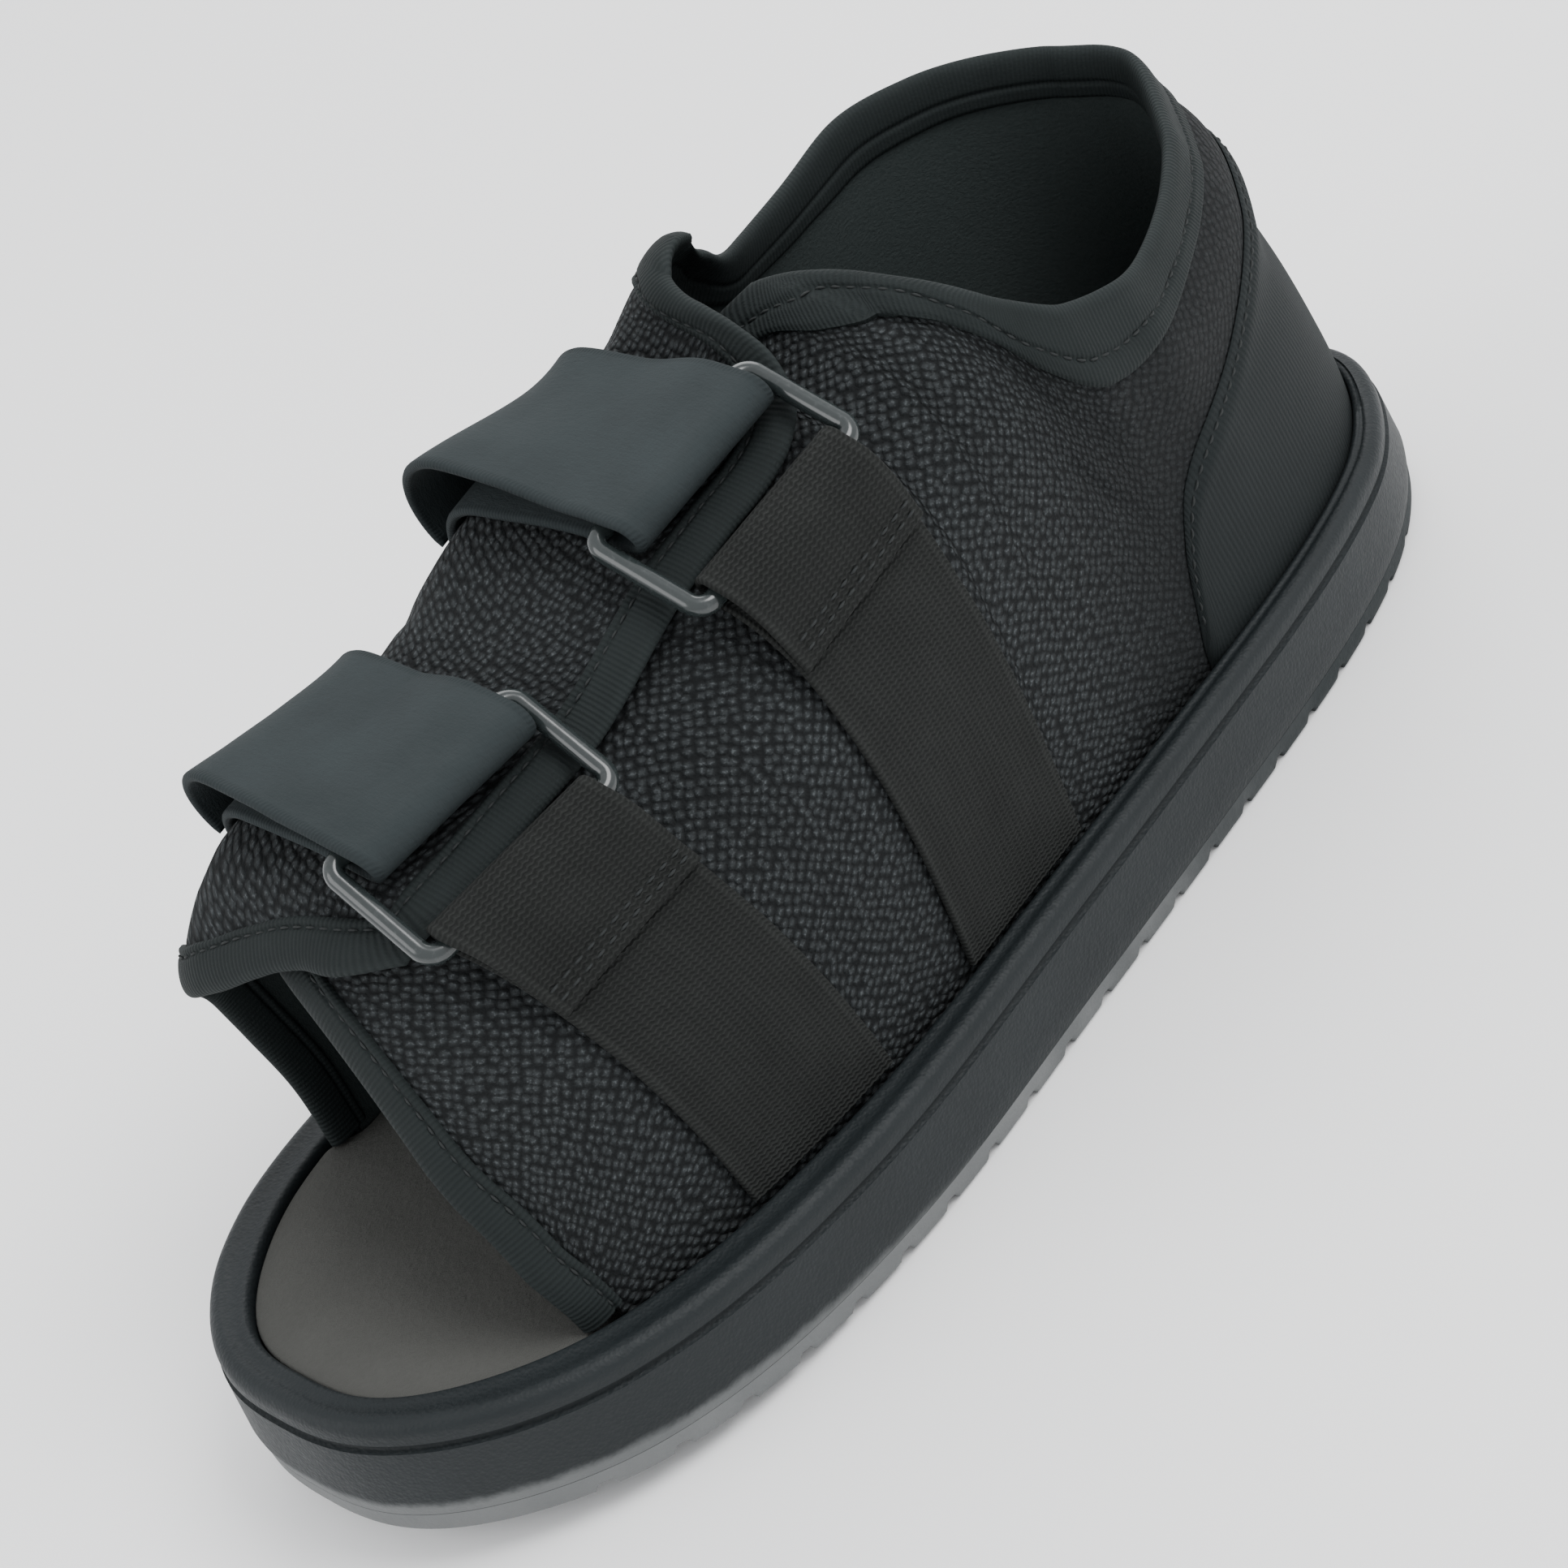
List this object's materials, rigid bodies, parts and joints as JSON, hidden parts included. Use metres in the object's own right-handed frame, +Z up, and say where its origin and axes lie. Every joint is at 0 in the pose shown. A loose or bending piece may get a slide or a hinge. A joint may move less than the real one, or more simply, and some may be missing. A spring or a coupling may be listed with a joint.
{
  "type": "post operative shoe",
  "caption": "Open toed post operative shoe with a closed heel, a mesh upper and two hook and loop straps run through rings.",
  "frame": {"origin": "on the ground, under the middle of the sole", "axes": "+X towards the toe, +Y towards the wearer's left, +Z up"},
  "size_m": [0.29, 0.1044, 0.1263],
  "materials": {
    "tread_rubber": "matte grey rubber",
    "midsole_foam": "satin black foam",
    "insole_felt": "grey brown napped felt",
    "upper_mesh": "black open mesh over foam",
    "counter_cloth": "smooth black knit over a stiff heel counter",
    "binding_tape": "dark grey folded tape",
    "ring_metal": "glossy black coated wire",
    "strap_loop": "dark grey brushed loop strap",
    "webbing_weave": "black woven webbing"
  },
  "bodies": {
    "root": {"outsole": "tread_rubber", "midsole": "midsole_foam", "insole": "insole_felt", "upper": "upper_mesh", "heel_counter": "counter_cloth", "collar_binding": "binding_tape", "flap_binding": "binding_tape", "toe_binding": "binding_tape", "ring_rear": "ring_metal", "ring_front": "ring_metal", "strap_rear": "strap_loop", "strap_front": "strap_loop", "webbing_rear": "webbing_weave", "webbing_front": "webbing_weave"}
  },
  "joints": []
}
